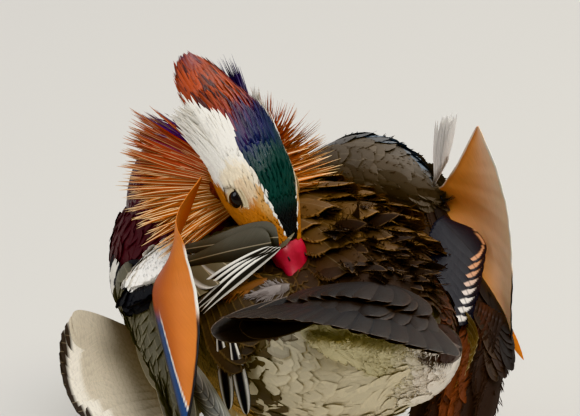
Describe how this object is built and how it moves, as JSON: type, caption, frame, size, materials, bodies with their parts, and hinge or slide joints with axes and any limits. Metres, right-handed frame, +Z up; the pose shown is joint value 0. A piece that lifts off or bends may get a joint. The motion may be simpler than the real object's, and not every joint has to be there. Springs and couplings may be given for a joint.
{
  "type": "mandarin duck",
  "caption": "Life-size still drake mandarin duck that stands and preens its rump, with its head turned back, its sails raised and its tail fanned",
  "frame": {"origin": "on the ground under the middle of the whole bird's bounding box", "axes": "+X the way the breast faces, +Y the bird's left side, +Z up"},
  "size_m": [0.2952, 0.2106, 0.2427],
  "materials": {
    "plumage": "small body feathers",
    "neck": "dark maroon breast feathers",
    "hackles": "chestnut ruff, copper and green crest",
    "flight": "vaned wing feathers",
    "sail": "smooth orange tertial",
    "tail": "dark brown vaned feathers",
    "bill": "crimson horn",
    "eye": "wet dark brown",
    "leg": "scaled yellow-orange skin",
    "claw": "dark horn"
  },
  "bodies": {
    "root": {"torso": "plumage", "neck": "neck", "head": "hackles", "bill_upper": "bill", "bill_lower": "bill", "eye_left": "eye", "eye_right": "eye", "wing_left": "flight", "wing_right": "flight", "sail_left": "sail", "sail_right": "sail", "tail": "tail", "thigh_left": "plumage", "shank_left": "leg", "foot_left": "leg", "claw_left_1": "claw", "claw_left_2": "claw", "claw_left_3": "claw", "claw_left_4": "claw", "thigh_right": "plumage", "shank_right": "leg", "foot_right": "leg", "claw_right_1": "claw", "claw_right_2": "claw", "claw_right_3": "claw", "claw_right_4": "claw"}
  },
  "joints": []
}
